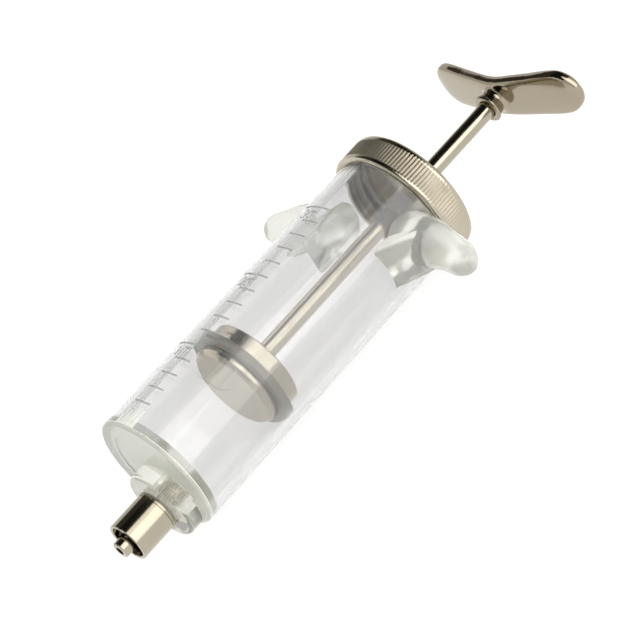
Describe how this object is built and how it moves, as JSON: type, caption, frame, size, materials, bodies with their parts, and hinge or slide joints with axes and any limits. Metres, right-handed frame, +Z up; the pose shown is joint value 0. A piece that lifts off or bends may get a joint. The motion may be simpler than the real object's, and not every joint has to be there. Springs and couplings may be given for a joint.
{
  "type": "hand injection syringe",
  "caption": "Clear hand syringe with a graduated barrel, finger grips, an off-centre metal luer-lock nozzle, a knurled screw cap and a piston on a rod with a T-handle.",
  "frame": {"origin": "bottom centre of the whole object's box, on the surface that the cap's rim rests on", "axes": "+X along the barrel from the nozzle towards the handle, +Y towards one finger grip, +Z up through the scale"},
  "size_m": [0.137, 0.0696, 0.0316],
  "materials": {
    "clear_barrel": "clear, polished, slightly smoky moulded plastic",
    "nickel_plate": "bright warm nickel plate on brass",
    "gasket_rubber": "matt silicone rubber",
    "seal_rubber": "greased, satin black-olive rubber"
  },
  "bodies": {
    "barrel": {"barrel": "clear_barrel"},
    "piston_seal": {"piston_ring": "seal_rubber"},
    "plunger": {"plunger_rod": "nickel_plate", "piston_front_plate": "nickel_plate", "piston_rear_plate": "nickel_plate", "plunger_handle": "nickel_plate"},
    "cap_seal": {"cap_gasket": "gasket_rubber"},
    "cap": {"end_cap": "nickel_plate"},
    "nozzle_seal": {"nozzle_gasket": "gasket_rubber"},
    "nozzle": {"luer_nozzle": "nickel_plate", "luer_lock_collar": "nickel_plate"}
  },
  "joints": [
    {"name": "plunger_slide", "type": "slide", "parent": "barrel", "child": "piston_seal", "axis": [1, 0, 0], "range_m": [-0.0213, 0.0485]},
    {"name": "plunger_turn", "type": "hinge", "parent": "piston_seal", "child": "plunger", "pos_m": [-0.02535, 0, 0.0158], "axis": [1, 0, 0], "continuous": true},
    {"name": "cap_slide", "type": "slide", "parent": "barrel", "child": "cap_seal", "axis": [1, 0, 0], "range_m": [0, 0.004]},
    {"name": "cap_screw", "type": "hinge", "parent": "cap_seal", "child": "cap", "pos_m": [0.02985, 0, 0.0158], "axis": [1, 0, 0], "range_deg": [0, 900]},
    {"name": "nozzle_slide", "type": "slide", "parent": "barrel", "child": "nozzle_seal", "axis": [-1, 0, 0], "range_m": [0, 0.0045]},
    {"name": "nozzle_screw", "type": "hinge", "parent": "nozzle_seal", "child": "nozzle", "pos_m": [-0.0562, 0, 0.0097], "axis": [-1, 0, 0], "range_deg": [0, 1800]}
  ],
  "couplings": [
    {"joint": "cap_screw", "follows": "cap_slide", "rad_per_m": 3926.9},
    {"joint": "nozzle_screw", "follows": "nozzle_slide", "rad_per_m": 6981.3}
  ]
}
